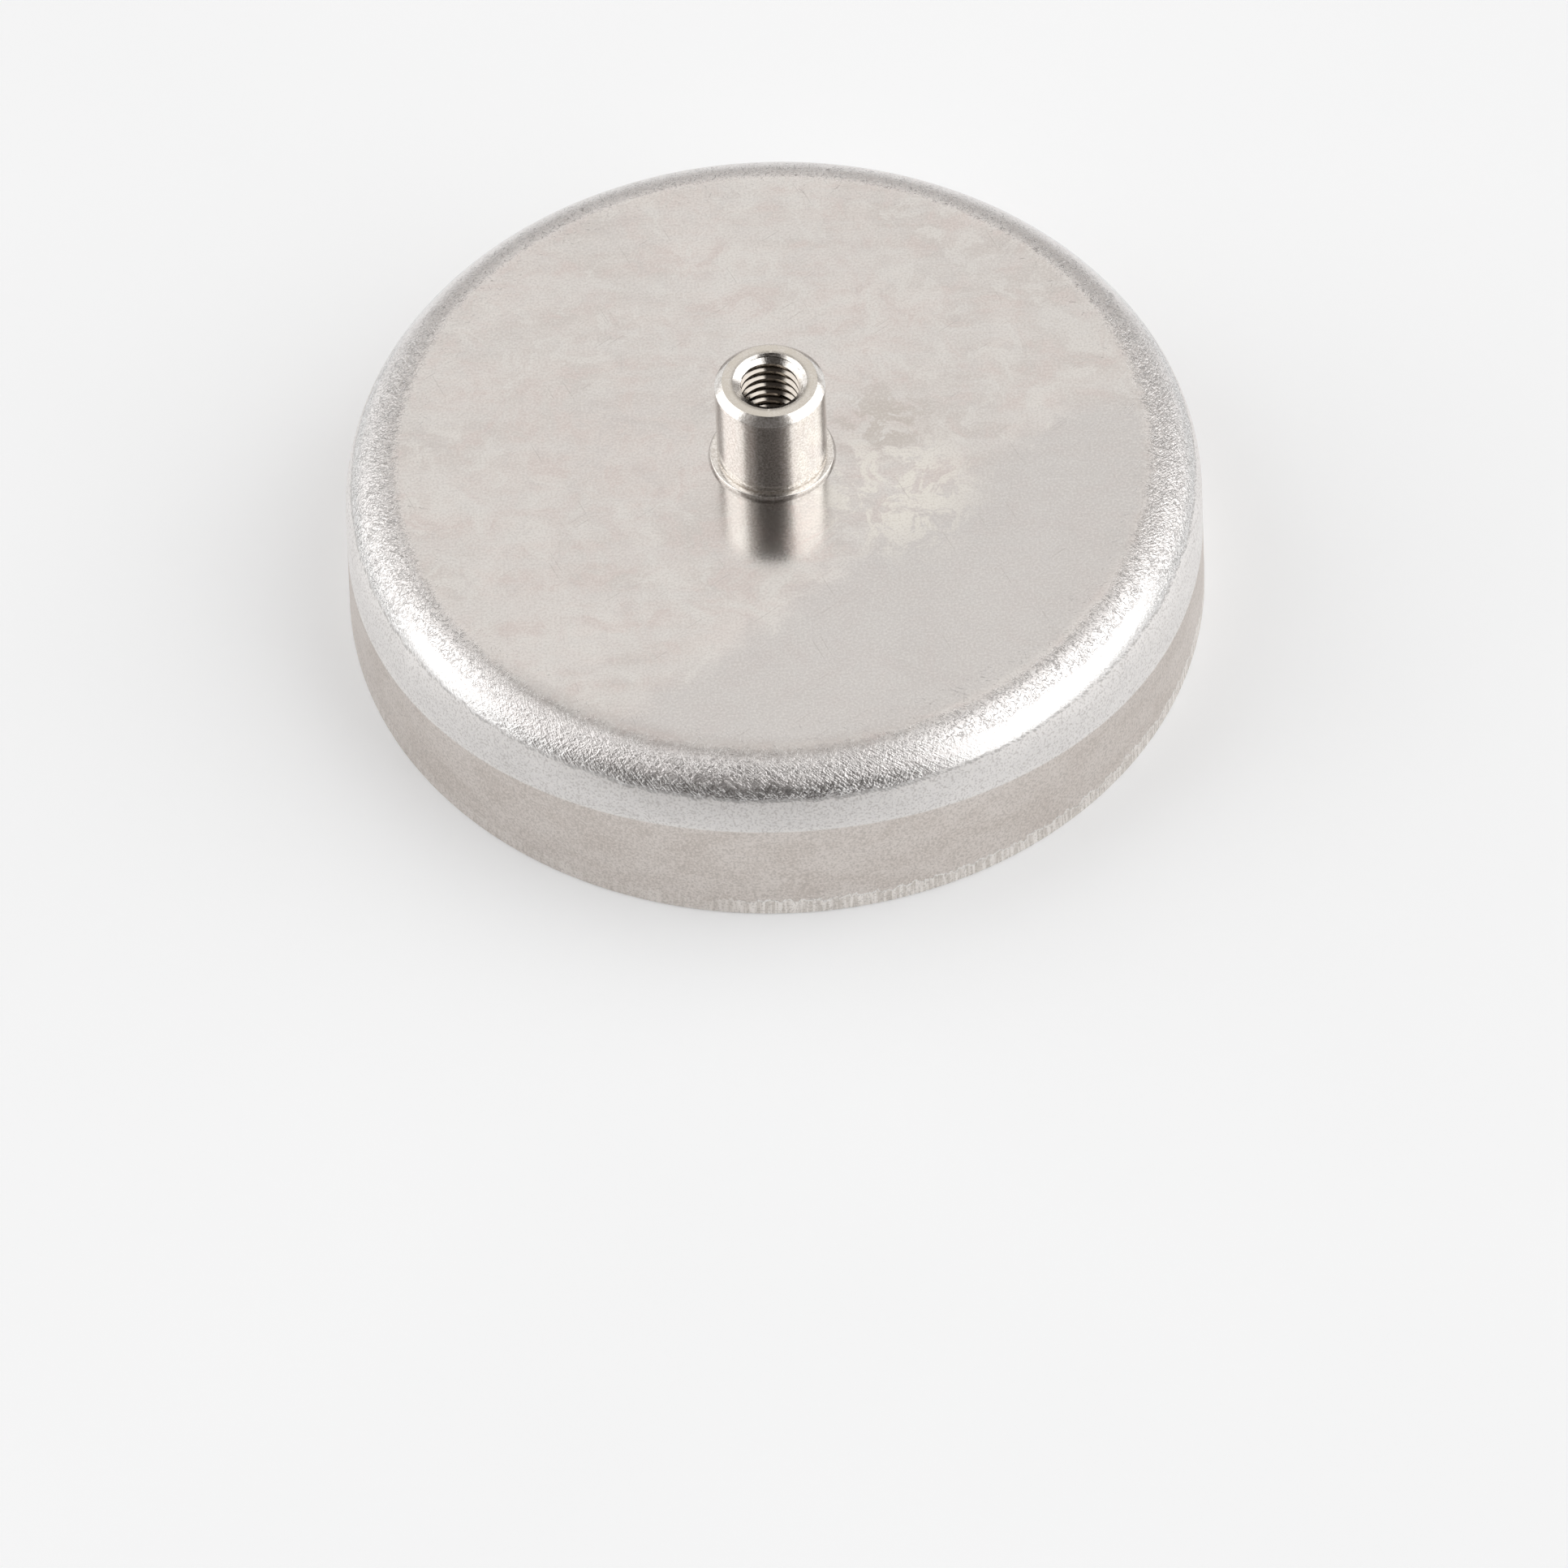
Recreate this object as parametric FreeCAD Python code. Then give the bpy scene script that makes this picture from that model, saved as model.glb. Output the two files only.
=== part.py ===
import FreeCAD, Part
import math
import os

# Threaded pot magnet, in millimetres.
# A cup drawn from steel sheet holds a ferrite disc, and a turned bush with a tapped blind hole is upset
# in the middle of the cup's base. A ring of resin fills the gap between the disc and the cup's wall.
# The frame stands on the magnetic face: Z = 0 is the rim of the cup, where it meets what it grips,
# and +Z is the axis of the thread, pointing out of the bush.

# Cup
rim_diameter = 63.0        # outside of the cup at its rim
pot_height = 14.0          # from the rim to the flat back
sheet_thickness = 2.5
corner_radius = 4.1        # outside of the bend between the wall and the base
least_bend_radius = 0.4    # the tightest inside bend that the sheet takes
wall_flare = 0.42          # how far the wall thickens outwards from the back to the rim, on the radius

# Bush
thread_bore_diameter = 4.2  # tapping hole of an M5 thread
bush_wall = 1.9            # between the tapping hole and the outside of the bush
stem_height = 8.0          # how far the bush stands out of the cup's back
bush_chamfer = 0.55
mouth_chamfer = 0.6        # countersink at the mouth of the thread, measured on the radius
collar_lip = 0.525         # how far the collar stands out beyond the bush, on the radius
collar_thickness = 0.4
collar_edge_chamfer = 0.12
groove_depth = 0.12        # turned groove where the bush meets its collar
groove_width = 0.22
spigot_wall = 0.9          # between the tapping hole and the spigot that passes through the cup
spigot_clearance = 0.02    # left round the spigot after it is upset
head_flare = 1.0           # how far the upset head spreads beyond the spigot, on the radius
head_depth = 1.0           # depth of the upset head in the cup's base
bore_floor = 1.24          # metal left between the drill point and the inner end of the bush
drill_point_angle = 118.0

# Magnet and resin
magnet_gap = 1.0           # between the disc and the cup's wall, on the radius
magnet_recess = 0.2        # how far the disc lies behind the rim
face_chamfer = 0.5         # edge of the disc at the magnetic face
corner_clearance = 0.1     # between the cup's inside bend and what sits beside it
resin_recess = 0.7         # how far the resin lies behind the rim

# Heights and radii that follow
rim_radius = rim_diameter / 2
inside_corner_radius = max(corner_radius - sheet_thickness, least_bend_radius)
base_inside = pot_height - sheet_thickness
bore_radius = thread_bore_diameter / 2
bush_radius = bore_radius + bush_wall
collar_radius = bush_radius + collar_lip
spigot_radius = bore_radius + spigot_wall
bush_end = pot_height + stem_height
collar_top = pot_height + collar_thickness
drill_point_height = bore_radius / math.tan(math.radians(drill_point_angle / 2))
drill_tip = base_inside + bore_floor
thread_end = drill_tip + drill_point_height
bend_start = base_inside - inside_corner_radius - corner_clearance


def wall_outside(height):
    """Outside radius of the cup's leaning wall at a height above the rim."""
    return rim_radius - wall_flare * height / pot_height


# The punch that the sheet is drawn over is straight, so the wall is straight inside.
inside_radius = wall_outside(base_inside) - sheet_thickness
disc_radius = inside_radius - magnet_gap


def rounded_corner(before, corner, after, radius):
    """Start, middle and end of the arc that rounds one corner of an outline."""
    arm_in = (before - corner).normalize()
    arm_out = (after - corner).normalize()
    half_angle = arm_in.getAngle(arm_out) / 2
    bisector = (arm_in + arm_out).normalize()
    setback = radius / math.tan(half_angle)
    centre = corner + bisector * (radius / math.sin(half_angle))
    return corner + arm_in * setback, centre - bisector * radius, corner + arm_out * setback


def turned(outline):
    """Solid turned about Z from a closed outline of (radius, height, rounding) points."""
    points = [FreeCAD.Vector(radius, 0, height) for radius, height, rounding in outline]
    edges = []
    stops = []
    for index, (radius, height, rounding) in enumerate(outline):
        if rounding > 0:
            after = points[(index + 1) % len(points)]
            start, middle, end = rounded_corner(points[index - 1], points[index], after, rounding)
            edges.append(Part.Arc(start, middle, end).toShape())
            stops.append((start, end))
        else:
            stops.append((points[index], points[index]))
    for index in range(len(stops)):
        leave = stops[index][1]
        reach = stops[(index + 1) % len(stops)][0]
        edges.append(Part.LineSegment(leave, reach).toShape())
    section = Part.Face(Part.Wire(Part.__sortEdges__(edges)))
    return section.revolve(FreeCAD.Vector(0, 0, 0), FreeCAD.Vector(0, 0, 1), 360)


def make_pot_cup():
    """Drawn cup: a wall that thickens to its rim and a flat base with a countersunk hole for the bush."""
    hole_radius = spigot_radius + spigot_clearance
    countersink_top = base_inside + head_depth
    return turned([
        (inside_radius, 0, 0),
        (rim_radius, 0, 0),
        (wall_outside(pot_height), pot_height, corner_radius),
        (hole_radius, pot_height, 0),
        (hole_radius, countersink_top, 0),
        (hole_radius + head_flare, base_inside, 0),
        (inside_radius, base_inside, inside_corner_radius),
    ])


def make_threaded_bush():
    """Turned bush: chamfered stem, collar on the cup's back, spigot and upset head, blind tapped hole."""
    return turned([
        (0, base_inside, 0),
        (spigot_radius + head_flare, base_inside, 0),
        (spigot_radius, base_inside + head_depth, 0),
        (spigot_radius, pot_height, 0),
        (collar_radius, pot_height, 0),
        (collar_radius, collar_top - collar_edge_chamfer, 0),
        (collar_radius - collar_edge_chamfer, collar_top, 0),
        (bush_radius - groove_depth, collar_top, 0),
        (bush_radius, collar_top + groove_width, 0),
        (bush_radius, bush_end - bush_chamfer, 0),
        (bush_radius - bush_chamfer, bush_end, 0),
        (bore_radius + mouth_chamfer, bush_end, 0),
        (bore_radius, bush_end - mouth_chamfer, 0),
        (bore_radius, thread_end, 0),
        (0, drill_tip, 0),
    ])


def make_magnet_disc():
    """Ferrite disc, seated on the base, with its inner edge chamfered clear of the cup's inside bend."""
    seat_chamfer = max(inside_corner_radius - magnet_gap + corner_clearance, face_chamfer)
    return turned([
        (0, magnet_recess, 0),
        (disc_radius - face_chamfer, magnet_recess, 0),
        (disc_radius, magnet_recess + face_chamfer, 0),
        (disc_radius, base_inside - seat_chamfer, 0),
        (disc_radius - seat_chamfer, base_inside, 0),
        (0, base_inside, 0),
    ])


def make_resin_ring(magnet_disc):
    """Resin poured between the disc and the wall, from its surface behind the rim up to the cup's bend."""
    pour = turned([
        (disc_radius - face_chamfer, resin_recess, 0),
        (inside_radius, resin_recess, 0),
        (inside_radius, bend_start, 0),
        (disc_radius - face_chamfer, bend_start, 0),
    ])
    return pour.cut(magnet_disc)


def main():
    os.makedirs("parts", exist_ok=True)
    magnet_disc = make_magnet_disc()
    pieces = {
        "pot_cup": make_pot_cup(),
        "threaded_bush": make_threaded_bush(),
        "magnet_disc": magnet_disc,
        "resin_ring": make_resin_ring(magnet_disc),
    }
    for name, piece in pieces.items():
        piece.exportStep("parts/" + name + ".step")
        print(name, "solids", len(piece.Solids), "valid", piece.isValid(), "mm3", round(piece.Volume, 1))
    print("thread runs from", round(thread_end, 3), "to", round(bush_end - mouth_chamfer, 3))


main()
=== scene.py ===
# %% [markdown]
# # A threaded pot magnet
#
# The object is a shallow steel cup with a ferrite disc in its open side. It rests on that side, so what
# shows is the cup's flat back, its rounded bend and its wall, and a small tapped bush in the middle.
# The solids are already built at their real size. This lesson loads them and gives them their looks:
# finer meshes where the solids are plain, and a finish for every surface. Everything is in metres, and
# the sizes below are written in millimetres and scaled where a mesh or a material needs them.

# %% Load the solids
import math

import bmesh
import bpy
import numpy as np
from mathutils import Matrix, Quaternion, Vector


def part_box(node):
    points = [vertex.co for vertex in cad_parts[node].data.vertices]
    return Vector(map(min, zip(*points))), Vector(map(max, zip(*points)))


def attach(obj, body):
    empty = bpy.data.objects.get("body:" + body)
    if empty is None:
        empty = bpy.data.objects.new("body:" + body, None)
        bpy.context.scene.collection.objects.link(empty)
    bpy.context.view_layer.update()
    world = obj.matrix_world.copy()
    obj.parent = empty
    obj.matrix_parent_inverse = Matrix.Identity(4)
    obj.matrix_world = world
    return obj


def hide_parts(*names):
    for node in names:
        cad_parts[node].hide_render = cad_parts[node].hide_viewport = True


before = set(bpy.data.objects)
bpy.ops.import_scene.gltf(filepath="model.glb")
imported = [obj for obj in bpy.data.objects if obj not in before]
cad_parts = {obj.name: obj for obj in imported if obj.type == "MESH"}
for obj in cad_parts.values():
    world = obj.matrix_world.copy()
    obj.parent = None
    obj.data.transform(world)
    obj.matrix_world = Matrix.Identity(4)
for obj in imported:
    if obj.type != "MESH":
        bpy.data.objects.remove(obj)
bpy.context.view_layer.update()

MM = 0.001

# %% [markdown]
# ## Sizes
#
# The outer sizes are read from the solids, so that the meshes fit them. A few sizes inside the outline,
# such as the depth of a chamfer, can't be read from a box, so they are named here.

# %% Sizes read from the solids
cup_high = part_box("pot_cup")[1]
bush_low, bush_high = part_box("threaded_bush")
disc_low, disc_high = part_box("magnet_disc")
resin_low, resin_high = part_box("resin_ring")
rim_radius = cup_high.x / MM
pot_height = cup_high.z / MM
base_inside = bush_low.z / MM
bush_end = bush_high.z / MM
collar_radius = bush_high.x / MM
disc_radius = disc_high.x / MM
disc_face = disc_low.z / MM
resin_face = resin_low.z / MM
resin_end = resin_high.z / MM
inside_radius = resin_high.x / MM
sheet = pot_height - base_inside
print("rim radius", round(rim_radius, 3), "pot height", round(pot_height, 3), "sheet", round(sheet, 3))

# %% Sizes inside the outline
wall_lean = 0.42
bend_radius = 4.1
bore_radius = 2.1
bush_radius = 4.0
bush_chamfer = 0.55
mouth_chamfer = 0.6
mouth_depth = 0.42
collar_thickness = 0.4
groove_depth = 0.12
groove_width = 0.22
spigot_radius = 3.0
head_flare = 1.0
head_depth = 1.0
spigot_gap = 0.02
thread_end = 14.0
drill_tip = 12.74
pitch = 0.8
thread_depth = 0.4
face_chamfer = 0.5
seat_chamfer = 0.7
rim_chamfer = 0.15
bend_start = pot_height - bend_radius
bend_length = bend_radius * math.pi / 2
top_of_collar = pot_height + collar_thickness
mouth_radius = bore_radius + mouth_chamfer


def wall_outside(height):
    """Outside radius of the leaning wall at a height above the rim."""
    return rim_radius - wall_lean * height / pot_height


print("the bend starts", round(bend_start, 2), "mm up and takes", round(bend_length, 2), "mm of sheet")

# %% [markdown]
# ## The camera
#
# A long lens about 66 cm away looks down at 51 degrees and is rolled by two degrees. The lens is long, so
# the round pot keeps nearly the same width at its back as at its front. The camera is aimed with a
# quaternion, because the roll is then one more turn about the line of sight.

# %% Camera
camera_place = Vector((0, -432.64, 509.55)) * MM
camera_aim = Vector((-0.02, -19.48, 0)) * MM
camera_roll = -2.084
camera_lens = 208.12
sensor_width = 36

camera = bpy.data.objects.new("camera", bpy.data.cameras.new("camera"))
bpy.context.scene.collection.objects.link(camera)
camera.location = camera_place
camera.rotation_mode = "QUATERNION"
level = (camera_aim - camera_place).to_track_quat("-Z", "Y")
camera.rotation_quaternion = level @ Quaternion((0, 0, 1), math.radians(camera_roll))
camera.data.lens = camera_lens
camera.data.sensor_width = sensor_width
camera.data.clip_start = 0.01
bpy.context.scene.camera = camera
bpy.context.scene.view_settings.view_transform = "Standard"
print("camera", round((camera_place - camera_aim).length, 3), "m from what it looks at")

# %% [markdown]
# ## Writing shader maths as sums
#
# A material in Blender is a graph of nodes. Dragging fifty nodes about by hand is slow to read back, so
# this lesson wraps one socket in a small class. A sum or a product of two wires adds the Math node that
# does it, and `1 - mask` works because the reversed forms are there too. Any other kind of node comes
# from `node`, which sets the node's own settings before it fills its sockets.


# %% One socket as a value
class Wire:
    """One output socket in a node tree, used as a value in an expression."""

    def __init__(self, tree, socket):
        self.tree = tree
        self.socket = socket

    def node(self, kind, settings, sockets, out=0):
        """Adds a node of a kind, sets its settings, then its sockets, and gives back one output."""
        made = self.tree.nodes.new(kind)
        for name, value in settings.items():
            setattr(made, name, value)
        for name, value in sockets.items():
            if isinstance(value, Wire):
                self.tree.links.new(value.socket, made.inputs[name])
            else:
                made.inputs[name].default_value = value
        return Wire(self.tree, made.outputs[out])

    def math(self, operation, *values):
        return self.node("ShaderNodeMath", {"operation": operation}, dict(enumerate(values)))

    def __add__(self, other):
        return self.math("ADD", self, other)

    def __radd__(self, other):
        return self.math("ADD", other, self)

    def __sub__(self, other):
        return self.math("SUBTRACT", self, other)

    def __rsub__(self, other):
        return self.math("SUBTRACT", other, self)

    def __mul__(self, other):
        return self.math("MULTIPLY", self, other)

    def __truediv__(self, other):
        return self.math("DIVIDE", self, other)

    def __rtruediv__(self, other):
        return self.math("DIVIDE", other, self)

    def at_least(self, other):
        return self.math("MAXIMUM", self, other)

    def at_most(self, other):
        return self.math("MINIMUM", self, other)

    def size(self):
        return self.math("ABSOLUTE", self)

    def step(self, low, high):
        """0 at low and 1 at high, with a smooth rise between. A low above high turns it round."""
        return self.node("ShaderNodeMapRange", {"interpolation_type": "SMOOTHSTEP"},
                         {"Value": self, "From Min": low, "From Max": high, "To Min": 0.0, "To Max": 1.0})

    def band(self, low, high, soft):
        """1 between low and high, fading to 0 over a soft edge outside them."""
        return self.step(low - soft, low) * self.step(high + soft, high)

    def tint(self, first, second):
        """A colour that goes from first to second as this wire goes from 0 to 1."""
        # A Mix node has sockets for numbers and vectors too. Its colours are inputs 6 and 7 and output 2.
        return self.node("ShaderNodeMix", {"data_type": "RGBA"}, {0: self, 6: first, 7: second}, out=2)

    def noise(self, scale, detail=2.0, rough=0.5, warp=0.0):
        """Cloudy noise from 0 to 1, about 0.5, over this wire's vector, with scale features per unit."""
        return self.node("ShaderNodeTexNoise", {"noise_dimensions": "3D"},
                         {"Vector": self, "Scale": scale, "Detail": detail, "Roughness": rough,
                          "Distortion": warp})


def colour(red, green, blue):
    """A colour as a socket takes it, with nothing see-through."""
    return red, green, blue, 1


# %% [markdown]
# ## Where a point of the surface is
#
# The pot is round, so its finish is best told in its own measures: the distance from the axis, the height
# above the rim, and the distance along the drawn sheet from the start of the bend. A drawing tool slides
# along the sheet, so streaks and crinkles follow that last one. Noise that is read over a circle round
# the axis and the sheet's own length wraps round the pot with no seam.


# %% Places on the pot
class Place:
    """Wires that say where the shaded point is, in millimetres."""

    def __init__(self, tree):
        start = Wire(tree, tree.nodes.new("ShaderNodeTexCoord").outputs["Object"])
        self.point = start.node("ShaderNodeVectorMath", {"operation": "SCALE"}, {0: start, "Scale": 1 / MM})
        self.x, self.y, self.z = (self.point.node("ShaderNodeSeparateXYZ", {}, {0: self.point}, out=axis)
                                  for axis in range(3))
        self.radius = self.distance(self.x, self.y)

    def distance(self, east, north):
        return east.math("SQRT", east * east + north * north)

    def vector(self, x, y, z):
        return self.x.node("ShaderNodeCombineXYZ", {}, {0: x, 1: y, 2: z})

    def moved(self, x, y, z):
        """This point shifted, to read another stretch of the same noise."""
        return self.point.node("ShaderNodeVectorMath", {"operation": "ADD"}, {0: self.point, 1: (x, y, z)})

    def near(self, x, y, inner, outer):
        """1 within an inner distance of a spot on the back, fading to 0 at an outer one."""
        return self.distance(self.x - x, self.y - y).step(outer, inner)

    def along_sheet(self):
        """Distance along the cup's outside from the start of the bend: less than 0 on the wall."""
        centre = wall_outside(bend_start) - bend_radius
        rise = self.z - bend_start
        reach = self.radius - centre
        turn = rise.math("ARCTAN2", rise.at_least(0.0), reach.at_least(0.001))
        return rise.at_most(0.0) + turn * bend_radius - reach.at_most(0.0)

    def round_the_pot(self, along, around, stretch):
        """Noise coordinates that wrap round the axis: around per millimetre of wall, stretch along it."""
        inverse = around * rim_radius / self.radius.at_least(0.5)
        return self.vector(self.x * inverse, self.y * inverse, along * stretch)


# %% Making and filling a material
def new_finish(name):
    """An empty material with its Principled shader, and the places on its surface."""
    material = bpy.data.materials.new(name)
    material.use_nodes = True
    tree = material.node_tree
    shader = next(n for n in tree.nodes if n.type == "BSDF_PRINCIPLED")
    return material, tree, shader, Place(tree)


def connect(tree, shader, **wires):
    """Joins wires or plain values to the shader's sockets, named with underscores for spaces."""
    for name, value in wires.items():
        socket = shader.inputs[name.replace("_", " ")]
        if isinstance(value, Wire):
            tree.links.new(value.socket, socket)
        else:
            socket.default_value = value


def relief(height):
    """A normal from a height in millimetres."""
    return height.node("ShaderNodeBump", {}, {"Strength": 1.0, "Distance": MM, "Height": height})


# %% [markdown]
# ## The drawn steel
#
# The cup is pressed from flat sheet and plated. The back keeps the mill's smooth face, so it is nearly a
# mirror with faint stains. Round the bend the steel was stretched, and its grain stands up as a crinkled
# skin. The wall was squeezed between punch and die, which smooths it again, up to a line where the
# squeezing stopped. Where the rim was trimmed, the cutter left a bright strip of short upright scratches.
# Each of these is a zone of one material, because on the real cup it is one sheet, and zones may then fade
# into each other. The material is built up over the next cells, from masks to colours to relief.
#
# Rolled sheet stretches more one way than another. So the crinkle is strong at the front and at the two
# sides and faint between them, and the line on the wall swings up and down twice round the pot.

# %% Where the crinkle is strong
steel_finish, steel_tree, steel_shader, place = new_finish("drawn_steel")
along = place.along_sheet()
radius = place.radius.at_least(0.1)
front_turn = math.radians(15)
frontward = (place.y * math.cos(front_turn) + place.x * math.sin(front_turn)) / radius
in_front = frontward.step(-0.75, -0.95)
at_side = (place.x / radius).size().step(0.84, 0.95)
strength = 0.22 + in_front.at_least(at_side) * 0.78
print("places and shares,", len(steel_tree.nodes), "nodes so far")

# %% Zones along the sheet
skin_low, skin_full = 1.9, 2.3
ragged = place.round_the_pot(along, 1.0, 0.6).noise(0.8, detail=3.0)
bend = along + (ragged - 0.5) * 0.7
skin_top = (bend + in_front * 0.9).step(bend_length + 0.2, bend_length - 0.9)
crinkled = bend.step(skin_low, skin_full) * skin_top
bend_top = bend.step(2.7, 3.5)
back = along.step(bend_length - 0.6, bend_length + 0.6)
print("skin from", skin_low, "mm along the bend,", len(steel_tree.nodes), "nodes so far")

# %% [markdown]
# ### The line on the wall
#
# Where the squeezing stopped, the wall's satin ends at a sharp line with a small pale lip above it. The
# square of one coordinate less the square of the other goes up and down twice round the pot, so no angle
# has to be worked out for the line's swing.

# %% The line on the wall
line_height = 7.85
line_swing = 1.25
swing = (place.y * place.y - place.x * place.x) / (place.radius * place.radius).at_least(0.1)
above_line = place.z - swing * line_swing - line_height
ironed = above_line.step(0.09, -0.09)
lip = above_line.band(0.05, 0.16, 0.22)
upper = (1 - ironed) * bend.step(skin_full, skin_low)
wall = ironed + upper
print("line", line_height - line_swing, "to", line_height + line_swing, "mm above the rim")

# %% [markdown]
# ### The trimmed strip
#
# A trimming cutter leaves a ragged upper edge and fine upright marks. The strip is drawn bright on the
# right half and faint on the left, as painted light for the stronger light from the right. Noise that is
# stretched tall gives both the marks and the ragged edge, and a thin bright burr follows that edge on the
# right half.

# %% The trimmed strip at the rim
strip_height = 1.35
strip_ragged = 1.9
cutter_marks = place.round_the_pot(place.z, 1.0, 0.2).noise(1.3, detail=3.0, rough=0.65)
# Painted light: the strip and its burr are drawn stronger on the right half, which the stronger box lights.
lit_right_half = place.x.step(-7.0, -1.0)
above_rim = place.z - (cutter_marks - 0.5) * strip_ragged - strip_height
trimmed = above_rim.step(0.06, -0.06) * (0.3 + lit_right_half * 0.7)
burr = above_rim.band(-0.02, 0.06, 0.07) * lit_right_half
upright = place.round_the_pot(place.z, 1.0, 0.08).noise(4.0, detail=1.0, rough=0.7)
print("strip about", strip_height, "mm high,", len(steel_tree.nodes), "nodes so far")

# %% [markdown]
# ### The crinkled skin
#
# Seen close, the skin is a felt of short ridges that lean both ways, over an even grain. One noise can't
# lean both ways, so two are read: each over coordinates that turn about the axis as they climb, which
# slants the strokes. At the skin's upper edge the ridges part into single curls. A noise has a thin winding
# line wherever it crosses one value, so the distance from that value gives the curls, darkened with painted
# shade, and the painted highlight beside each.


# %% Strokes and curls
def slanted_strokes(slant, scale, length):
    """Short strokes that lean over as they climb, wrapped round the pot."""
    circle = place.round_the_pot(along, 1.0, 1.0 / length)
    turn = along * (slant / rim_radius)
    leaned = circle.node("ShaderNodeVectorRotate", {"rotation_type": "Z_AXIS"},
                         {"Vector": circle, "Angle": turn})
    return leaned.noise(scale, detail=2.0)


grain = place.point.noise(5.5, detail=1.0, rough=0.7)
leaning = slanted_strokes(slant=1.1, scale=5.0, length=2.4)
falling = slanted_strokes(slant=-0.7, scale=2.8, length=2.6)
crinkle = leaning * 0.75 + grain * 0.75 + falling * 0.5 - 1.0
ridges = (leaning.step(0.56, 0.66) + falling.step(0.58, 0.68)).at_most(1.0)

folds = place.round_the_pot(along, 1.0, 0.8).noise(2.2, detail=1.0, warp=1.4)
worms = (folds - 0.5).size()
fringe = (bend.band(4.1, 5.7, 0.6) * (1 - in_front * 0.6)).at_least(at_side * crinkled)
# Painted shade: the curls are darkened in colour as well as sunk.
shaded_curls = worms.step(0.042, 0.014) * fringe
# Painted highlight: a bright edge beside each curl.
painted_glints = (folds - 0.56).size().step(0.035, 0.012) * fringe

# %% Pits, nicks and the skin's lower edge
seam = bend.band(1.98, 2.12, 0.10) * leaning.step(0.40, 0.55)
near_nicks = along.band(3.4, bend_length + 1.2, 0.8)
nicks = (leaning.step(0.67, 0.73) + falling.step(0.71, 0.77)).at_most(1.0) * near_nicks
# Painted shade: the crinkle's low spots are darkened, less at the sides and high at the front.
pit_strength = 0.55 - bend_top * in_front * 0.25 - at_side * 0.3
pits = crinkle.step(-0.03, -0.14) * crinkled * strength * pit_strength
# The front edge of the flat back, which gets painted shade and a duller finish.
front_edge = in_front * bend.band(5.2, 6.4, 0.9)
print("skin,", len(steel_tree.nodes), "nodes so far")

# %% [markdown]
# ### Stains and rolling marks
#
# The flat back is where the eye rests, and an even grey would look like plastic there. It has clouds of
# slightly warmer and cooler plating, streaks from the rolling mill, a pale and a brown stain beside the
# bush, and a few hairline scratches. All are faint: each layer is mixed in by less than its mask.


# %% Marks on the back
def straight_scratches(angle, width, length, low):
    """Sparse hairline scratches across the flat in one direction."""
    a = math.radians(angle)
    across = place.x * math.cos(a) + place.y * math.sin(a)
    down = place.y * math.cos(a) - place.x * math.sin(a)
    marks = place.vector(across / width, down / length, 0.0).noise(1.0, detail=0.0)
    return marks.step(low, low + 0.05)


hairs = straight_scratches(angle=24, width=0.16, length=5.0, low=0.80)
hairs = hairs.at_least(straight_scratches(angle=-52, width=0.14, length=4.0, low=0.79)) * back
clouds = place.point.noise(0.10, detail=3.0, rough=0.6, warp=0.7)
blots = place.moved(31.0, 7.0, 3.0).noise(0.30, detail=4.0, rough=0.62, warp=1.4)
stains = place.moved(5.0, 9.0, 2.0).noise(0.42, detail=4.0, rough=0.72, warp=0.7)
rolled = place.vector(place.x * 0.12, place.y * 0.7, place.z).noise(0.9, detail=3.0, rough=0.6)
smears = place.round_the_pot(place.z, 0.45, 0.8).noise(0.5, detail=3.0, rough=0.55, warp=0.6)

# %% Stains in their places
cool_x, cool_y, cool_distance, cool_ragged = 0.646, -0.764, 11.5, 7.0
cool_line = place.x * cool_x + place.y * cool_y - cool_distance + (blots - 0.5) * cool_ragged
cool_side = cool_line.step(-1.2, 1.2) * place.y.step(6.0, 2.0)
pale_stain = place.near(x=8.8, y=-4.0, inner=2.0, outer=8.0) * stains.step(0.46, 0.55)
brown_stain = place.near(x=8.2, y=2.6, inner=1.0, outer=5.5) * stains.step(0.50, 0.42)
mauve_stain = place.near(x=-10.5, y=2.0, inner=2.0, outer=7.5) * blots.step(0.54, 0.44)
# Painted shade: a thin dark ring on the back where the collar sits on it.
collar_foot_shade = place.radius.band(collar_radius - 0.1, collar_radius + 0.1, 0.05) * back
print("marks and stains,", len(steel_tree.nodes), "nodes so far")

# %% Colours of the back
steel = clouds.step(0.32, 0.68).tint(colour(0.66, 0.63, 0.61), colour(0.765, 0.73, 0.71))
steel = (blots.step(0.50, 0.62) * 0.8).tint(steel, colour(0.700, 0.640, 0.620))
steel = (blots.step(0.48, 0.37) * 0.7).tint(steel, colour(0.77, 0.76, 0.74))
steel = (stains.step(0.52, 0.64) * 0.30).tint(steel, colour(0.80, 0.775, 0.75))
steel = (stains.step(0.48, 0.36) * 0.30).tint(steel, colour(0.62, 0.60, 0.595))
steel = (rolled.step(0.40, 0.65) * 0.55).tint(steel, colour(0.745, 0.735, 0.722))
steel = (cool_side * back * 0.7).tint(steel, colour(0.645, 0.634, 0.630))
steel = (pale_stain * back * 0.8).tint(steel, colour(0.86, 0.845, 0.79))
steel = (brown_stain * back * 0.7).tint(steel, colour(0.58, 0.54, 0.50))
steel = (mauve_stain * back * 0.35).tint(steel, colour(0.63, 0.59, 0.585))
steel = (hairs * 0.35).tint(steel, colour(0.42, 0.40, 0.385))
# Painted shade round the collar's foot.
steel = (collar_foot_shade * 0.4).tint(steel, colour(0.14, 0.12, 0.105))
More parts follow.
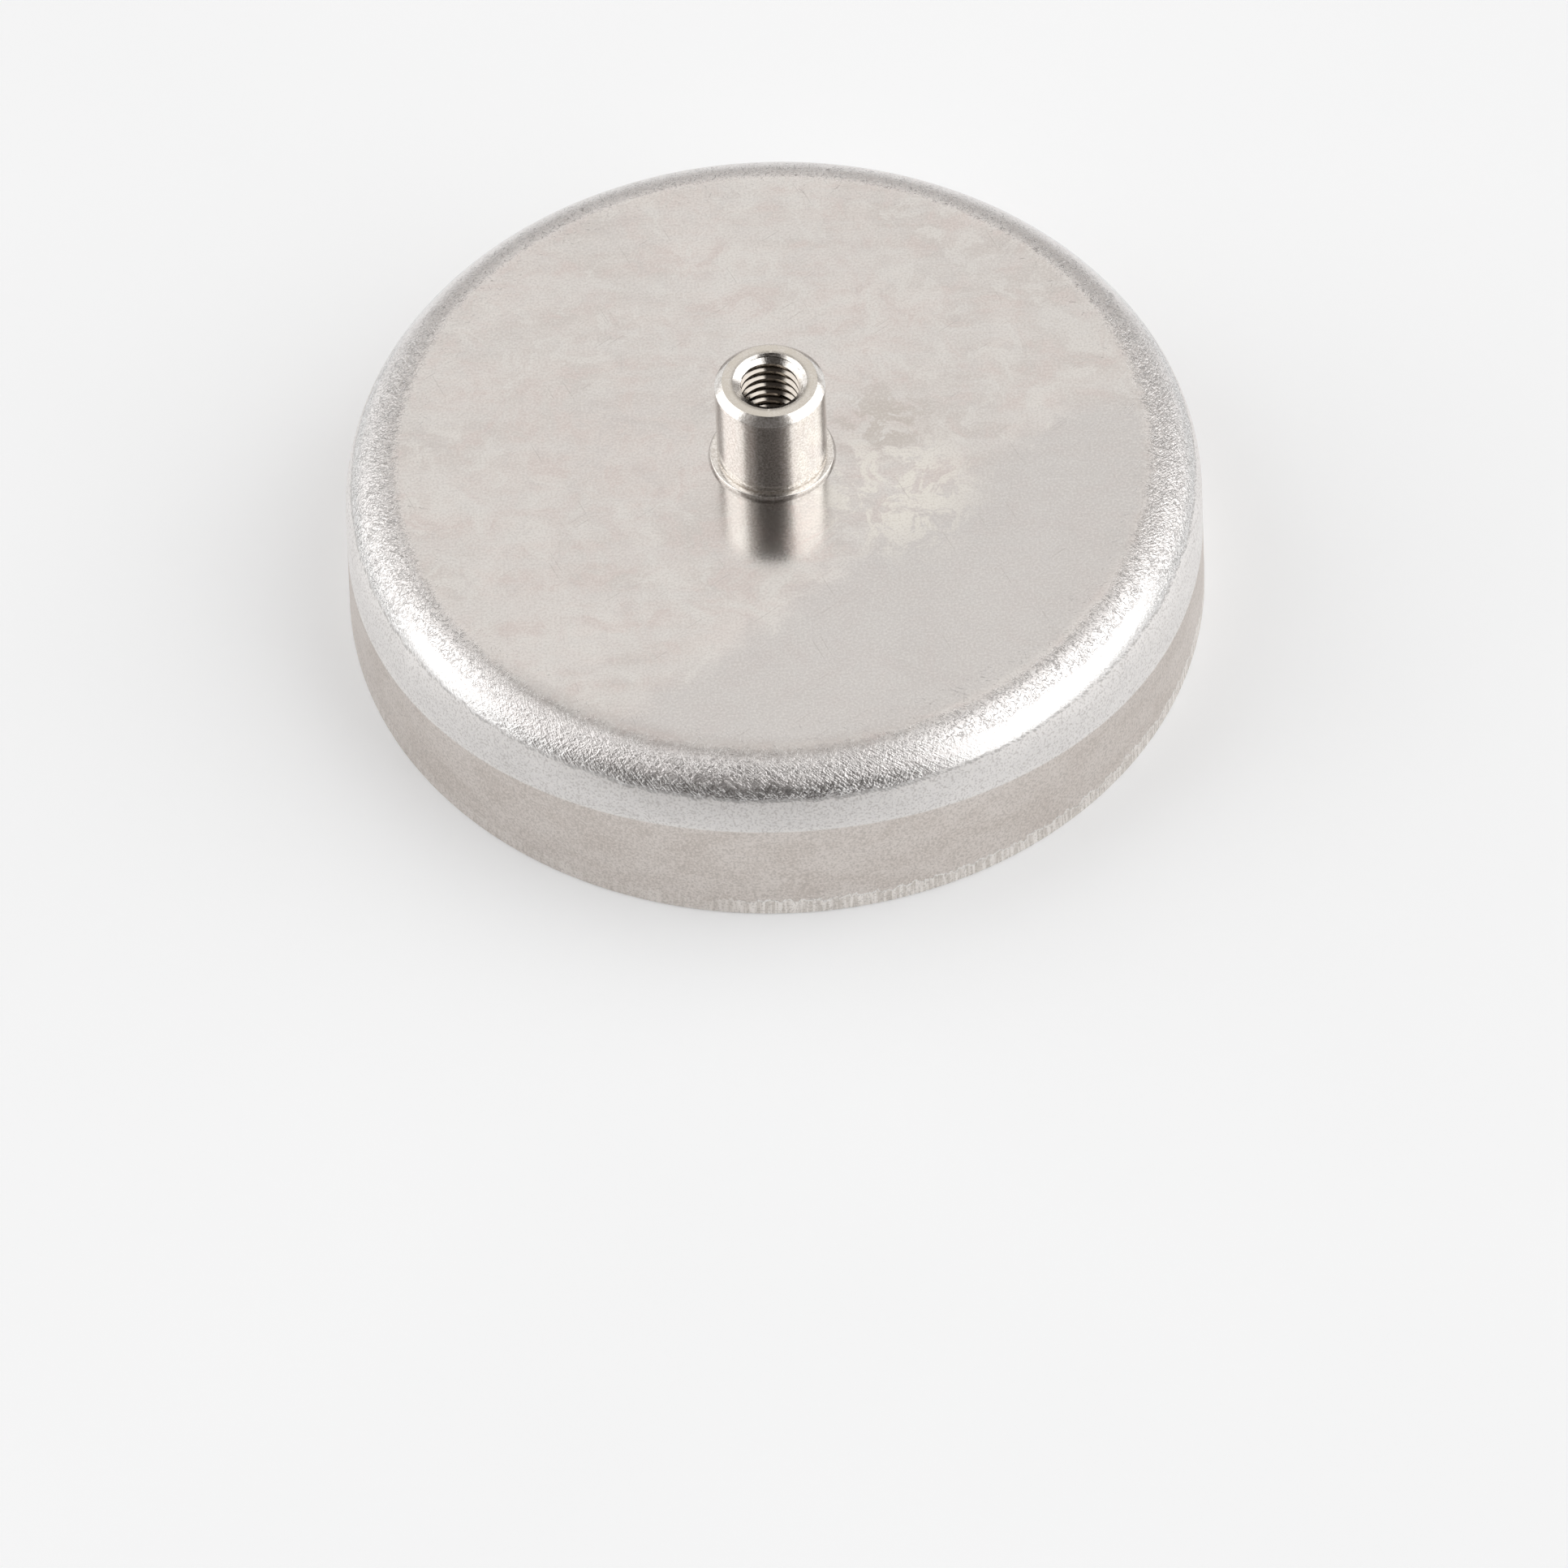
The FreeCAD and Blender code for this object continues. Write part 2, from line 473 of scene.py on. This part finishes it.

# %% Colours of the wall and the bend
# Painted reflection: the squeezed wall's darker beige stands partly for the floor shaded by the pot, which
# it mirrors. The satin zone itself is real.
ironed_and_shaded_tone = smears.step(0.3, 0.7).tint(colour(0.625, 0.570, 0.527), colour(0.705, 0.655, 0.616))
upper_tone = smears.step(0.2, 0.8).tint(colour(0.80, 0.785, 0.775), colour(0.87, 0.855, 0.845))
steel = upper.tint(ironed.tint(steel, ironed_and_shaded_tone), upper_tone)
# Painted shade: the wall is darkened a little at the front, where it mirrors the dark camera side.
steel = (in_front * wall * 0.06).tint(steel, colour(0.30, 0.28, 0.27))
# Painted shade: a soft darker band at the front edge of the flat back, above the skin.
steel = (front_edge * 0.12).tint(steel, colour(0.45, 0.41, 0.40))
# Painted light: the skin is lighter at the sides, where it mirrors the soft boxes, than at the front. It is
# also darker low on the bend than near its top.
lit_skin_tone = in_front.tint(colour(0.93, 0.905, 0.895), colour(0.89, 0.86, 0.85))
lit_skin_tone = bend_top.tint(colour(0.80, 0.795, 0.79), lit_skin_tone)
steel = (crinkled * 0.85).tint(steel, lit_skin_tone)
# Painted shade in the crinkle's low spots and in the curls. The seam is a real dark line at the skin's
# lower edge.
steel = pits.at_least(shaded_curls * 0.6).at_least(seam * 0.6).tint(steel, colour(0.30, 0.29, 0.285))
# Painted highlight: the bright edges beside the curls.
steel = (painted_glints * 0.8).tint(steel, colour(1.0, 0.985, 0.97))

# %% Colours of the rim, and the grain over all
strip_tone = upright.step(0.35, 0.65).tint(colour(0.66, 0.62, 0.575), colour(0.95, 0.92, 0.885))
steel = (trimmed * 0.9).tint(steel, strip_tone)
steel = (lip * 0.35 + burr * 0.8).at_most(1.0).tint(steel, colour(0.90, 0.89, 0.87))
grain_share = 0.36 - back * 0.05 + wall * 0.2
dark_grain = ironed.tint(colour(0.56, 0.53, 0.51), colour(0.48, 0.44, 0.41))
pale_grain = ironed.tint(colour(0.86, 0.84, 0.82), colour(0.77, 0.72, 0.685))
steel = (grain.step(0.50, 0.34) * grain_share).tint(steel, dark_grain)
steel = (grain.step(0.50, 0.66) * grain_share).tint(steel, pale_grain)

# %% [markdown]
# ### Gloss and relief
#
# Roughness tells most of the zones apart: the back is nearly a mirror, the skin on the bend is a little
# duller, and the squeezed wall is satin. The heights are hundredths of a millimetre. More of it on the
# bend would scatter the dark band that the bend mirrors at the front.

# %% Roughness and relief of the steel
back_rough, mottle = 0.165, 0.08
ironed_rough, upper_rough = 0.275, 0.525
skin_rough, skin_top_rough, front_edge_rough, nick_rough = 0.06, 0.12, 0.14, 0.1
rough = back_rough + (grain + clouds + blots - 1.5) * mottle + nicks * nick_rough
rough = rough + crinkled * (skin_rough + bend_top * skin_top_rough) + front_edge * front_edge_rough
rough = rough + ironed * ironed_rough + upper * upper_rough - trimmed * 0.01

skin_height, skin_top_height, fold_height, ridge_height = 0.054, 0.013, 0.03, 0.007
nick_depth, curl_depth = 0.012, 0.03
grain_height, wall_grain_height = 0.001, 0.005
lip_height, strip_marks, burr_height = 0.006, 0.03, 0.01
skin = crinkle * (skin_height + bend_top * skin_top_height) + worms * fold_height + ridges * ridge_height
height = skin * crinkled * strength - nicks * nick_depth - shaded_curls * curl_depth
height = height + (grain - 0.5) * (grain_height + wall * wall_grain_height)
height = height + lip * lip_height + trimmed * (upright - 0.5) * strip_marks + burr * burr_height
connect(steel_tree, steel_shader, Base_Color=steel, Roughness=rough, Metallic=1.0, Normal=relief(height))
print("drawn steel,", len(steel_tree.nodes), "nodes in all")

# %% [markdown]
# ## The plated bush
#
# The bush is turned from bar and plated with nickel. Turning leaves fine rings round it, which stretch the
# reflections a little up and down, and plating makes it brighter and warmer than the cup. The stem, the
# end, the collar and the thread are told apart by height and radius alone, because the bush is round.


# %% Nickel on turned steel
def turned_nickel():
    material, tree, shader, place = new_finish("turned_nickel")
    rings = place.vector(place.radius * 9.0, place.z * 9.0, 0.0).noise(1.0, detail=3.0, rough=0.7)
    specks = place.point.noise(6.0, detail=1.0, rough=0.7)
    clouds = place.point.noise(0.8, detail=3.0, rough=0.6)
    top = place.z.step(bush_end - 0.02, bush_end - 0.005)
    collar = place.z.step(top_of_collar + 0.3, top_of_collar)
    # The bore below the mouth. Its colour is darkened there as painted shade.
    inside = place.radius.step(2.75, 2.6) * place.z.step(bush_end - 0.45, bush_end - 0.7)
    stem = (1 - top) * (1 - inside) * (1 - collar)
    nickel = specks.step(0.3, 0.7).tint(colour(0.68, 0.645, 0.605), colour(0.90, 0.875, 0.845))
    nickel = (top * (0.35 + clouds.step(0.3, 0.7) * 0.5)).tint(nickel, colour(0.69, 0.65, 0.58))
    # Painted shade: the bore is darkened, where little light reaches inside.
    nickel = (inside * 0.8).tint(nickel, colour(0.45, 0.40, 0.345))
    rough = 0.13 + (specks - 0.5) * 0.12 + top * 0.14 + stem * 0.05 + collar * 0.05
    height = rings * 0.0008 + (specks - 0.5) * (0.002 + stem * 0.003)
    connect(tree, shader, Base_Color=nickel, Roughness=rough, Metallic=1.0, Normal=relief(height))
    return material


nickel_finish = turned_nickel()
print("turned nickel,", len(nickel_finish.node_tree.nodes), "nodes")

# %% [markdown]
# ## Ferrite and resin
#
# They show only from below. Hard ferrite is a dark grey ceramic, ground flat on a wheel, which leaves wide
# passes and fine scratches that all curve about one far centre. The distance from that centre is the one
# thing they need. The resin round it is poured and cures with a glossy, slightly wavy face.


# %% Ground ferrite
def ground_ferrite():
    material, tree, shader, place = new_finish("ground_ferrite")
    wheel_x, wheel_y = -70.0, -20.0
    sweep = place.distance(place.x - wheel_x, place.y - wheel_y)
    scratches = place.vector(sweep * 6.0, place.y * 0.05, 0.0).noise(1.0, detail=4.0, rough=0.75)
    passes = place.vector(sweep * 0.9, place.y * 0.02, 0.0).noise(1.0, detail=3.0, rough=0.7)
    pores = place.point.noise(4.0, detail=3.0, rough=0.7)
    clouds = place.point.noise(0.12, detail=3.0)
    ferrite = clouds.tint(colour(0.050, 0.051, 0.055), colour(0.082, 0.083, 0.088))
    ferrite = (passes.step(0.42, 0.66) * 0.6).tint(ferrite, colour(0.120, 0.121, 0.127))
    ferrite = (scratches.step(0.48, 0.70) * 0.6).tint(ferrite, colour(0.17, 0.17, 0.18))
    ferrite = (pores.step(0.40, 0.30) * 0.7).tint(ferrite, colour(0.028, 0.028, 0.030))
    rough = 0.40 + (scratches - 0.5) * 0.25 + (passes - 0.5) * 0.2 + (pores - 0.5) * 0.1
    height = scratches * 0.006 - pores.step(0.68, 0.78) * 0.03
    connect(tree, shader, Base_Color=ferrite, Roughness=rough, Metallic=0.0, Normal=relief(height))
    return material


ferrite_finish = ground_ferrite()
print("ground ferrite,", len(ferrite_finish.node_tree.nodes), "nodes")


# %% Poured resin
def poured_resin():
    material, tree, shader, place = new_finish("poured_resin")
    waves = place.point.noise(0.35, detail=2.0)
    pits = place.point.noise(2.2, detail=1.0)
    resin = waves.tint(colour(0.030, 0.030, 0.032), colour(0.052, 0.051, 0.050))
    rough = 0.28 + (waves - 0.5) * 0.2
    height = waves * 0.06 - pits.step(0.74, 0.8) * 0.05
    connect(tree, shader, Base_Color=resin, Roughness=rough, Metallic=0.0, Normal=relief(height))
    return material


resin_finish = poured_resin()
print("poured resin,", len(resin_finish.node_tree.nodes), "nodes")

# %% [markdown]
# ## Turning an outline into a mesh
#
# Every piece here is round, so one helper turns an outline about the axis, as a lathe does. The outline's
# corners may carry a rounding, and long stretches are cut into short steps so that a dent has vertices to
# move. Blender's Screw modifier could do the turning, but plain arrays let a point be moved before the
# mesh is made.


# %% Outline
def rounded(before, corner, after, radius, step):
    """Points of the arc that rounds one corner."""
    arm_in = (before - corner).normalized()
    arm_out = (after - corner).normalized()
    half = arm_in.angle(arm_out) / 2
    bisector = (arm_in + arm_out).normalized()
    centre = corner + bisector * (radius / math.sin(half))
    start = corner + arm_in * (radius / math.tan(half)) - centre
    end = corner + arm_out * (radius / math.tan(half)) - centre
    turn = start.angle(end)
    count = max(3, math.ceil(radius * turn / step))
    return [centre + start * (math.sin(turn * (1 - k / count)) / math.sin(turn))
            + end * (math.sin(turn * k / count) / math.sin(turn)) for k in range(count + 1)]


def trace(corners, step):
    """Points along an outline of (radius, height, rounding) corners, with no stretch over a step long."""
    marks = [Vector((r, z)) for r, z, rounding in corners]
    path = []
    for index, (r, z, rounding) in enumerate(corners):
        if rounding > 0:
            after = marks[(index + 1) % len(marks)]
            path += rounded(marks[index - 1], marks[index], after, rounding, step * 0.6)
        else:
            path.append(marks[index])
    filled = []
    for here, there in zip(path, path[1:] + path[:1]):
        count = max(1, math.ceil((there - here).length / step))
        filled += [here.lerp(there, k / count) for k in range(count)]
    return np.array([[p.x, p.y] for p in filled])


# %% Lathe
def ring_faces(count, segments):
    """Quads between neighbouring rings of a closed outline."""
    rows = np.arange(count)[:, None]
    columns = np.arange(segments)[None, :]
    next_row, next_column = (rows + 1) % count, (columns + 1) % segments
    corners = [rows * segments + columns, rows * segments + next_column,
               next_row * segments + next_column, next_row * segments + columns]
    return np.stack(np.broadcast_arrays(*corners), axis=-1).reshape(-1, 4).tolist()


def turned(outline, segments, shift=None):
    """Points and faces of an outline turned about Z. shift moves the points of (angle, radius, height)."""
    angle = np.arange(segments) * 2 * math.pi / segments
    angle = np.broadcast_to(angle, (len(outline), segments))
    radius = np.broadcast_to(outline[:, :1], angle.shape)
    height = np.broadcast_to(outline[:, 1:], angle.shape)
    if shift:
        radius, height = shift(angle, radius, height)
    points = np.stack([radius * np.cos(angle), radius * np.sin(angle), height], axis=-1).reshape(-1, 3)
    return points, ring_faces(len(outline), segments)


# %% From points to a piece
same_point = 1e-7
sharp_edge = math.radians(35)


def make_piece(name, points, faces, finish):
    """A mesh object from points in millimetres, cleaned of double points, empty faces and loose edges."""
    mesh = bpy.data.meshes.new(name)
    mesh.from_pydata((points * MM).tolist(), [], faces)
    piece = bpy.data.objects.new(name, mesh)
    bpy.context.scene.collection.objects.link(piece)
    bm = bmesh.new()
    bm.from_mesh(mesh)
    bmesh.ops.remove_doubles(bm, verts=bm.verts, dist=same_point)
    bmesh.ops.dissolve_degenerate(bm, edges=bm.edges, dist=same_point)
    loose = [edge for edge in bm.edges if edge.is_wire]
    bmesh.ops.delete(bm, geom=loose, context="EDGES")
    bmesh.ops.recalc_face_normals(bm, faces=bm.faces)
    open_edges = sum(not edge.is_manifold for edge in bm.edges)
    bm.to_mesh(mesh)
    bm.free()
    mesh.shade_smooth()
    mesh.set_sharp_from_angle(angle=sharp_edge)
    mesh.materials.append(finish)
    print(name, len(mesh.polygons), "faces,", open_edges, "open edges")
    return piece


# %% [markdown]
# ## The cup
#
# The solid already has the right section, but its facets are coarse and its surface is perfect. The mesh
# follows the same section with a point every half millimetre. Two soft hollows by the bend on the right,
# a twentieth of a millimetre deep at most, are what bends the light there on the real one.

# %% The drawn cup
cup_outline = trace([
    (inside_radius, rim_chamfer, 0),
    (inside_radius + rim_chamfer, 0, 0),
    (wall_outside(0) - rim_chamfer, 0, 0),
    (wall_outside(rim_chamfer), rim_chamfer, 0),
    (wall_outside(pot_height), pot_height, bend_radius),
    (spigot_radius + spigot_gap, pot_height, 0),
    (spigot_radius + spigot_gap, base_inside + head_depth, 0),
    (spigot_radius + spigot_gap + head_flare, base_inside, 0),
    (inside_radius, base_inside, bend_radius - sheet),
], step=0.5)

# Each hollow: its direction and half width in degrees, its distance from the axis, its reach and its depth.
hollows = ((4.0, 14.0, 27.2, 1.6, 0.05), (-12.0, 9.0, 28.0, 1.2, 0.04))


def cup_hollows(angle, radius, height):
    """Soft hollows in the back where it runs into the bend."""
    outside = height > pot_height - 1.0
    for middle, across, distance, reach, depth in hollows:
        turn = (np.degrees(angle) - middle + 180) % 360 - 180
        hollow = np.exp(-(turn / across) ** 2 - ((radius - distance) / reach) ** 2)
        height = height - depth * hollow * outside
    return radius, height


cup = make_piece("cup", *turned(cup_outline, segments=512, shift=cup_hollows), steel_finish)
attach(cup, "root")
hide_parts("pot_cup")

# %% [markdown]
# ## The bush and its thread
#
# The outside of the bush is turned like the cup. The thread inside is a real helix: each column of points
# starts a little higher than the one before, by one pitch in a full turn, so that the crests and flanks
# run exactly along the mesh. Cutting a thread with a boolean would leave ragged edges instead. Where the
# countersink is wider than the thread, the countersink wins.

# %% Bush outside
groove_radius = bush_radius - groove_depth
groove_lean, groove_floor = 0.02, 0.6
collar_rounding, edge_rounding = 0.08, 0.03
bush_outline = trace([
    (0, base_inside, 0),
    (spigot_radius + head_flare, base_inside, 0),
    (spigot_radius, base_inside + head_depth, 0),
    (spigot_radius, pot_height, 0),
    (collar_radius, pot_height, 0),
    (collar_radius, top_of_collar, collar_rounding),
    (groove_radius, top_of_collar, 0),
    (groove_radius + groove_lean, top_of_collar + groove_floor * groove_width, 0),
    (bush_radius, top_of_collar + groove_width, edge_rounding),
    (bush_radius, bush_end - bush_chamfer, edge_rounding),
    (bush_radius - bush_chamfer, bush_end, edge_rounding),
    (mouth_radius, bush_end, 0),
], step=0.4)
print("bush outline", len(bush_outline), "points")

# %% Thread inside
bush_segments = 144
rows_per_turn = 16
crest_flat, root_flat = 0.25, 0.125
turns = (bush_end - thread_end) / pitch + 1


def thread_radius(phase):
    """Radius of the thread over one pitch: flat crest, straight flank, narrow flat root."""
    from_root = np.abs(phase - 0.5) * 2
    flank = (1 - crest_flat - from_root) / (1 - crest_flat - root_flat)
    return bore_radius + thread_depth * np.clip(flank, 0, 1)


def bore_points(rows):
    """Columns of points up the bore, each one sheared to follow the helix."""
    row = np.arange(rows + 1)[:, None]
    column = np.arange(bush_segments)[None, :]
    height = thread_end + (row / rows_per_turn + column / bush_segments - 1) * pitch
    height = np.clip(height, thread_end, bush_end)
    cut = thread_radius((row % rows_per_turn) / rows_per_turn)
    fade = np.clip((height - thread_end) / pitch, 0, 1)
    countersink = mouth_radius - (bush_end - height) * mouth_chamfer / mouth_depth
    radius = np.maximum(bore_radius + (cut - bore_radius) * fade, countersink)
    angle = column * 2 * math.pi / bush_segments
    return np.stack([radius * np.cos(angle), radius * np.sin(angle), height], axis=-1).reshape(-1, 3)


def bore_faces(rows):
    """Quads of the bore. The last column meets the first one a full turn higher."""
    faces = []
    for row in range(rows):
        for column in range(bush_segments):
            a, b = row * bush_segments + column, (row + 1) * bush_segments + column
            if column + 1 < bush_segments:
                faces.append((a, a + 1, b + 1, b))
            else:
                lift = row + rows_per_turn
                c = min(lift, rows) * bush_segments
                d = min(lift + 1, rows) * bush_segments
                faces.append((a, c, d, b))
    return faces


print("thread of", round(turns - 1, 1), "turns")


# %% The whole bush
def bush_mesh():
    """The outside up to the countersink's edge, the bore, and the cone that the drill leaves."""
    rounding_slack = 1e-6
    beyond_mouth = bush_outline[:, 0] >= mouth_radius - rounding_slack
    ring_edge = int(np.flatnonzero(beyond_mouth)[-1])
    outside, faces = turned(bush_outline[:ring_edge + 1], bush_segments)
    rows = math.ceil(turns * rows_per_turn)
    bore = bore_points(rows)
    first = len(outside)
    tip = first + len(bore)
    faces = faces[:ring_edge * bush_segments]
    faces += [[first + corner for corner in face] for face in bore_faces(rows)]
    faces += [[first + i, first + (i + 1) % bush_segments, tip] for i in range(bush_segments)]
    return np.concatenate([outside, bore, [[0, 0, drill_tip]]]), faces


bush = make_piece("bush", *bush_mesh(), nickel_finish)
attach(bush, "root")
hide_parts("threaded_bush")

# %% [markdown]
# ## The magnet and the resin
#
# Both are simple turned forms. The disc's edge gets small chips, as ground ceramic has, and the resin sags
# between the disc and the wall as it cures. The chips are random, but from a seed, so that every run makes
# the same ones.

# %% Ferrite disc
chip_count = 26
chip_reach, chip_rise = 0.4, 0.1


def disc_chips(angle, radius, height):
    """Chips along the edge of the magnetic face."""
    rng = np.random.default_rng(7)
    middles = rng.uniform(0, 2 * math.pi, chip_count)
    widths = rng.uniform(0.004, 0.02, chip_count)
    depths = rng.uniform(0.05, 0.3, chip_count)
    for middle, across, depth in zip(middles, widths, depths):
        turn = (angle - middle + math.pi) % (2 * math.pi) - math.pi
        low = height < disc_face + face_chamfer + chip_rise
        edge = low & (radius > disc_radius - face_chamfer - chip_reach)
        radius = radius - depth * np.exp(-(turn / across) ** 2) * edge
    return radius, height


disc_outline = trace([
    (0, disc_face, 0),
    (disc_radius - face_chamfer, disc_face, 0),
    (disc_radius, disc_face + face_chamfer, 0),
    (disc_radius, base_inside - seat_chamfer, 0),
    (disc_radius - seat_chamfer, base_inside, 0),
    (0, base_inside, 0),
], step=1.0)
disc = make_piece("ferrite_disc", *turned(disc_outline, segments=480, shift=disc_chips), ferrite_finish)
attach(disc, "root")
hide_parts("magnet_disc")

# %% Resin ring
sag_depth = 0.12


def resin_sag(angle, radius, height):
    """A hollow face, deepest midway, and a little uneven round the ring."""
    middle = (radius - disc_radius) / (inside_radius - disc_radius)
    uneven = 1 + 0.3 * np.sin(3 * angle + 0.7) + 0.2 * np.sin(7 * angle)
    face = height < resin_face + 0.01
    return radius, height + sag_depth * np.sin(math.pi * middle) * uneven * face


resin_outline = trace([
    (disc_radius, resin_face, 0),
    (inside_radius, resin_face, 0),
    (inside_radius, resin_end, 0),
    (disc_radius, resin_end, 0),
], step=0.12)
resin = make_piece("potting_ring", *turned(resin_outline, segments=360, shift=resin_sag), resin_finish)
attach(resin, "root")
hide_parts("resin_ring")

# %% [markdown]
# ## The studio
#
# Bare metal shows what stands round it more than it shows itself, so the studio is half of the look. A
# large soft box stands at the right and another at the left, with a dimmer one further round behind it.
# They make the bright arcs on the bend and the bright strips on the bush. The camera's side is left dark,
# from the floor to high overhead, which makes the dark middle of both, and a pale wall behind fills the
# flat back with an even tone. Lamps could do this, but the boxes are so large that their edges matter more
# than their distance, so they are painted on the sky by direction. The camera itself sees only a plain
# pale backdrop, and the floor gives off a little light of its own, so that it stays as pale as the
# backdrop.

# %% Floor
floor_half = 3000.0
floor_drop = 0.01
floor_finish, floor_tree, floor_shader, floor_place = new_finish("pale_floor")
floor_clouds = floor_place.point.noise(0.02, detail=2.0)
floor_tone = floor_clouds.tint(colour(0.78, 0.79, 0.80), colour(0.81, 0.82, 0.83))
connect(floor_tree, floor_shader, Base_Color=floor_tone, Roughness=0.9, Emission_Color=floor_tone,
        Specular_IOR_Level=0.0, Emission_Strength=0.27)
corners = np.array([(-1, -1, 0), (1, -1, 0), (1, 1, 0), (-1, 1, 0)]) * floor_half - (0, 0, floor_drop)
floor = make_piece("floor", corners, [[0, 1, 2, 3]], floor_finish)

# %% Directions of the sky
world = bpy.data.worlds.new("studio")
world.use_nodes = True
bpy.context.scene.world = world
sky = world.node_tree
background = next(n for n in sky.nodes if n.type == "BACKGROUND")
heading = Wire(sky, sky.nodes.new("ShaderNodeTexCoord").outputs["Generated"])
to_right, to_back, upward = (heading.node("ShaderNodeSeparateXYZ", {}, {0: heading}, out=axis)
                             for axis in range(3))
azimuth = to_right.math("DEGREES", to_right.math("ARCTAN2", to_right, 0 - to_back))
elevation = upward.math("DEGREES", upward.math("ARCSINE", upward))


def soft_box(left, right, low, high, side_soft, end_soft):
    """1 inside a window of the sky, in degrees to the right of the camera and above the floor."""
    return azimuth.band(left, right, side_soft) * elevation.band(low, high, end_soft)


def sky_patch(middle, height, inner, outer):
    """1 near one direction of the sky, fading to 0 between two angles from it."""
    a, e = math.radians(middle), math.radians(height)
    centre = (math.sin(a) * math.cos(e), -math.cos(a) * math.cos(e), math.sin(e))
    nearness = heading.node("ShaderNodeVectorMath", {"operation": "DOT_PRODUCT"},
                            {0: heading, 1: centre}, out="Value")
    return nearness.step(math.cos(math.radians(outer)), math.cos(math.radians(inner)))


# %% Lit sky
wall_behind = sky_patch(middle=180, height=50, inner=13, outer=25)
camera_side = soft_box(left=-26, right=14, low=-90, high=53, side_soft=26, end_soft=7)
dark_overhead = sky_patch(middle=-8, height=67, inner=15, outer=23)
far_left_box = soft_box(left=-138, right=-104, low=6, high=42, side_soft=12, end_soft=6)
left_box = soft_box(left=-116, right=-66, low=4, high=61, side_soft=10, end_soft=6)
right_box = soft_box(left=43, right=123, low=6, high=73, side_soft=8, end_soft=6)

glow = wall_behind.tint(colour(0.45, 0.43, 0.415), colour(0.92, 0.89, 0.86))
glow = camera_side.tint(glow, colour(0.155, 0.146, 0.142))
glow = dark_overhead.tint(glow, colour(0.05, 0.044, 0.04))
glow = far_left_box.tint(glow, colour(1.10, 1.09, 1.08))
glow = left_box.tint(glow, colour(1.64, 1.63, 1.62))
glow = right_box.tint(glow, colour(1.68, 1.67, 1.66))
straight_from_camera = Wire(sky, sky.nodes.new("ShaderNodeLightPath").outputs["Is Camera Ray"])
glow = straight_from_camera.tint(glow, colour(0.92, 0.92, 0.92))
connect(sky, background, Color=glow, Strength=1.0)
print("studio sky,", len(sky.nodes), "nodes")
